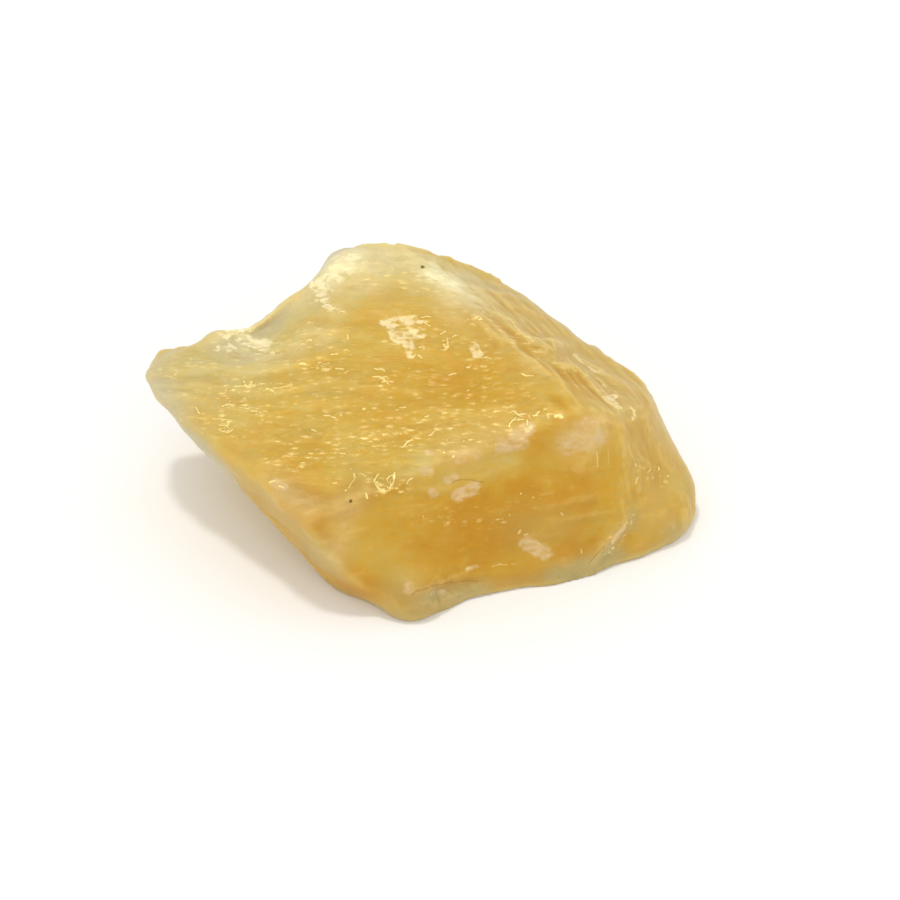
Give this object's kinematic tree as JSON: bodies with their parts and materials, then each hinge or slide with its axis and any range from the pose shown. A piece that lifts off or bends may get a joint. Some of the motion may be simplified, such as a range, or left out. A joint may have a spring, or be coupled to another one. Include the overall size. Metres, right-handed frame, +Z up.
{
  "type": "raw calcite piece",
  "caption": "Rough leaning chunk of honey-yellow calcite with a silky stepped cleavage top, lying on a flat cleavage face.",
  "frame": {"origin": "middle of the footprint, on the flat face that the stone lies on", "axes": "+Z up from the resting face, +X along the stone's length and along the grain of its top, -Y towards the steep front cleavage face"},
  "size_m": [0.0598, 0.0436, 0.023],
  "materials": {
    "honey_calcite": "waxy, milky translucent honey calcite"
  },
  "bodies": {
    "root": {"calcite_piece": "honey_calcite"}
  },
  "joints": []
}
